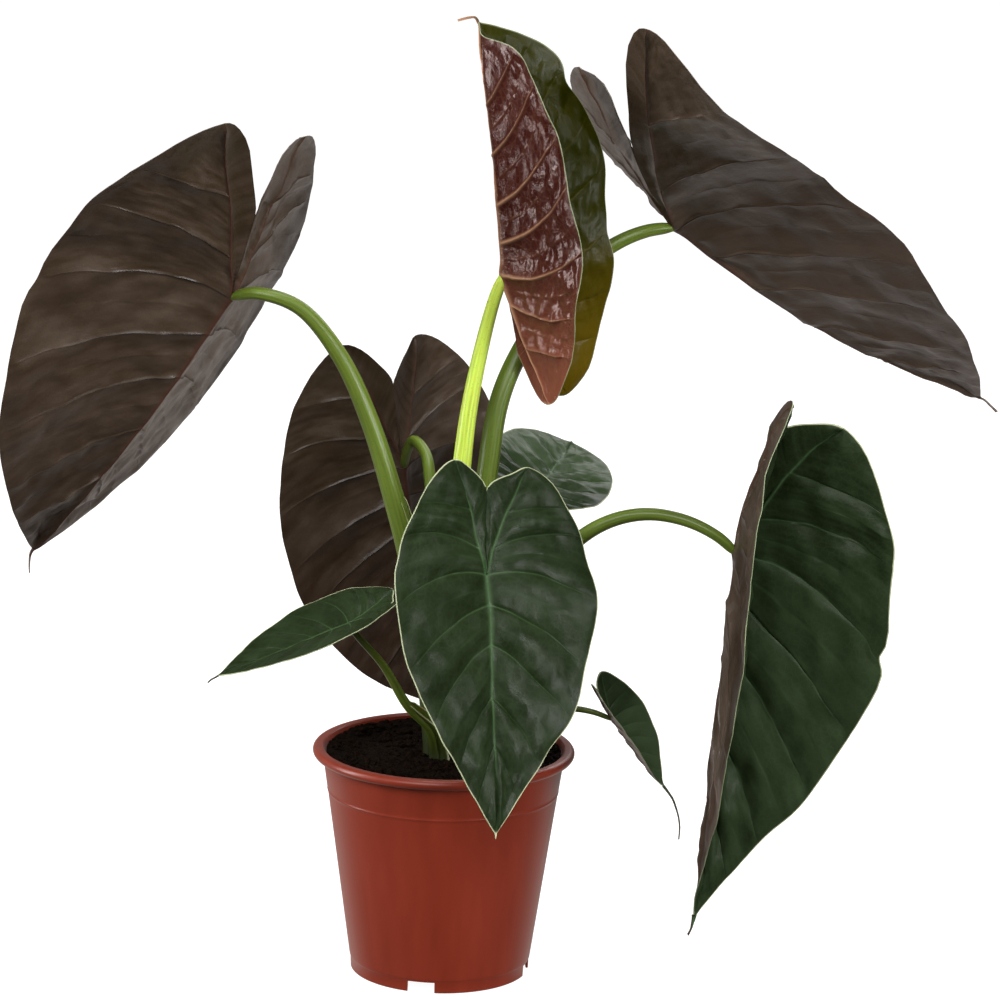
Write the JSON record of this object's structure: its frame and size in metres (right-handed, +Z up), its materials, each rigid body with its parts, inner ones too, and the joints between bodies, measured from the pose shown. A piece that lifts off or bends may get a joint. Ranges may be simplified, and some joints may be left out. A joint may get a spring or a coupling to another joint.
{
  "type": "potted alocasia",
  "caption": "Live alocasia with arrow-shaped, dark-veined leaves on arching stalks, rooted in soil in a plain terracotta-coloured nursery pot",
  "frame": {"origin": "centre of the pot's foot, on the ground", "axes": "+Z up, +X to the right as pictured, the pictured side faces -Y"},
  "size_m": [0.7364, 0.4037, 0.7037],
  "materials": {
    "pot": "satin moulded polypropylene, terracotta red-brown",
    "soil": "damp, crumbly, near-black potting soil with brown fibres",
    "leaf": "satin waxy leaf, dark green above and purple-brown beneath",
    "young_leaf": "glossy, puckered new leaf, olive above and maroon beneath",
    "stalk": "satin mid-green leaf stalk",
    "young_stalk": "satin lime-green leaf stalk"
  },
  "bodies": {
    "root": {"pot": "pot", "soil": "soil", "blade_left": "leaf", "blade_new": "young_leaf", "blade_right_high": "leaf", "blade_rear": "leaf", "blade_front": "leaf", "blade_right_low": "leaf", "blade_rear_right": "leaf", "blade_small_left": "leaf", "blade_small_right": "leaf", "stalk_left": "stalk", "stalk_new": "young_stalk", "stalk_right_high": "stalk", "stalk_rear": "stalk", "stalk_front": "stalk", "stalk_right_low": "stalk", "stalk_rear_right": "stalk", "stalk_small_left": "stalk", "stalk_small_right": "stalk"}
  },
  "joints": []
}
